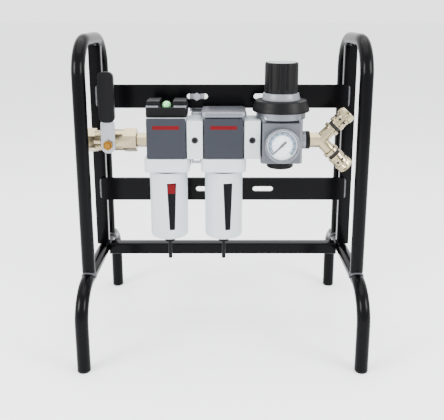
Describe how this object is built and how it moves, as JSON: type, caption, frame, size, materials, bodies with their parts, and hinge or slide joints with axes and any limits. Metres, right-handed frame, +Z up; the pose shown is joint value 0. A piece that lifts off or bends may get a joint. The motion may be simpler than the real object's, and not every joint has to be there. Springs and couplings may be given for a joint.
{
  "type": "air preparation set on a stand",
  "caption": "Free-standing tube stand carrying an inlet ball valve, filters with drains, a pressure regulator with gauge, and a forked outlet with quick couplers.",
  "frame": {"origin": "centre of the four feet's footprint, on the floor", "axes": "+Z up, -Y towards the gauge side (front), +X from the inlet valve to the outlet couplers"},
  "size_m": [0.432, 0.31, 0.49],
  "materials": {
    "black_paint": "gloss",
    "black_plastic": "satin",
    "grey_cover": "satin",
    "light_grey_paint": "satin",
    "die_cast": "satin",
    "nickel": "nickel plated brass",
    "brass": "polished",
    "zinc_steel": "zinc plated",
    "green_plastic": "gloss",
    "clear_lens": "clear polycarbonate",
    "dark_window": "gloss",
    "white_dial": "matt",
    "rubber": "moulded"
  },
  "bodies": {
    "stand": {"bonnet": "black_plastic", "bottom_plug": "black_plastic", "bracket_bolt": "zinc_steel", "coupler_body_lower": "nickel", "coupler_body_upper": "nickel", "cross_tube": "black_paint", "diaphragm": "rubber", "filter_cover_1": "grey_cover", "filter_cover_2": "grey_cover", "filter_element_1": "white_dial", "filter_element_2": "white_dial", "filter_head_1": "light_grey_paint", "filter_head_2": "light_grey_paint", "foot_cap_front_left": "black_plastic", "foot_cap_front_right": "black_plastic", "foot_cap_rear_left": "black_plastic", "foot_cap_rear_right": "black_plastic", "gauge_case": "die_cast", "gauge_dial": "white_dial", "gauge_lens": "clear_lens", "indicator_body": "black_plastic", "inlet_nipple": "nickel", "joiner_1": "light_grey_paint", "joiner_2": "light_grey_paint", "leg_frame_left": "black_paint", "leg_frame_right": "black_paint", "lock_ring": "die_cast", "low_rail": "black_paint", "outlet_nipple": "black_plastic", "range_spring": "zinc_steel", "regulator_body": "die_cast", "regulator_cover": "grey_cover", "side_bar_left": "black_paint", "side_bar_right": "black_paint", "support_bracket": "zinc_steel", "top_cap": "die_cast", "top_rail": "black_paint", "upper_frame_left": "black_paint", "upper_frame_right": "black_paint", "valve_body": "nickel", "y_fitting": "nickel"},
    "valve_handle": {"lever": "zinc_steel", "lever_grip": "black_plastic", "lever_nut": "brass", "valve_stem": "brass", "valve_ball": "nickel"},
    "bowl_unit_1": {"bowl_1": "light_grey_paint", "sight_window_1": "dark_window"},
    "bowl_unit_2": {"bowl_2": "light_grey_paint", "sight_window_2": "dark_window"},
    "drain_valve_1": {"drain_1": "black_plastic"},
    "drain_valve_2": {"drain_2": "black_plastic"},
    "indicator": {"indicator_dome": "green_plastic"},
    "pressure_knob": {"knob": "black_plastic", "adjusting_screw": "zinc_steel"},
    "seat": {"spring_seat": "zinc_steel"},
    "poppet_valve": {"poppet": "brass"},
    "needle": {"gauge_needle": "black_plastic"},
    "sleeve_upper": {"coupler_sleeve_upper": "nickel"},
    "sleeve_lower": {"coupler_sleeve_lower": "nickel"}
  },
  "joints": [
    {"name": "valve_lever_turn", "type": "hinge", "parent": "stand", "child": "valve_handle", "pos_m": [-0.171, -0.066, 0.327], "axis": [0, -1, 0], "range_deg": [0, 90]},
    {"name": "indicator_lift", "type": "slide", "parent": "stand", "child": "indicator", "axis": [0, 0, 1], "range_m": [0, 0.003], "stiffness_N_per_m": 150},
    {"name": "knob_turn", "type": "hinge", "parent": "stand", "child": "pressure_knob", "pos_m": [0.0895, -0.03, 0.42], "axis": [0, 0, -1], "range_deg": [0, 1800]},
    {"name": "seat_travel", "type": "slide", "parent": "stand", "child": "seat", "axis": [0, 0, -1], "range_m": [0, 0.0076], "deforming": ["range_spring"]},
    {"name": "poppet_lift", "type": "slide", "parent": "stand", "child": "poppet_valve", "axis": [0, 0, -1], "range_m": [0, 0.0015], "stiffness_N_per_m": 600},
    {"name": "needle_turn", "type": "hinge", "parent": "stand", "child": "needle", "pos_m": [0.088, -0.081, 0.329], "axis": [0, 1, 0], "range_deg": [0, 270], "stiffness_Nm_per_rad": 0.002},
    {"name": "sleeve_upper_slide", "type": "slide", "parent": "stand", "child": "sleeve_upper", "axis": [-0.7071, 0, -0.7071], "range_m": [0, 0.004], "stiffness_N_per_m": 600},
    {"name": "sleeve_lower_slide", "type": "slide", "parent": "stand", "child": "sleeve_lower", "axis": [-0.7071, 0, 0.7071], "range_m": [0, 0.004], "stiffness_N_per_m": 600},
    {"name": "bowl_1_drop", "type": "slide", "parent": "stand", "child": "bowl_unit_1", "axis": [0, 0, -1], "range_m": [0, 0.11]},
    {"name": "drain_1_turn", "type": "hinge", "parent": "bowl_unit_1", "child": "drain_valve_1", "pos_m": [-0.085, -0.03, 0.15], "axis": [0, 0, 1], "range_deg": [0, 180]},
    {"name": "bowl_2_drop", "type": "slide", "parent": "stand", "child": "bowl_unit_2", "axis": [0, 0, -1], "range_m": [0, 0.11]},
    {"name": "drain_2_turn", "type": "hinge", "parent": "bowl_unit_2", "child": "drain_valve_2", "pos_m": [0.0015, -0.03, 0.15], "axis": [0, 0, 1], "range_deg": [0, 180]}
  ],
  "couplings": [
    {"joint": "seat_travel", "follows": "knob_turn", "m_per_rad": 0.00023873}
  ]
}
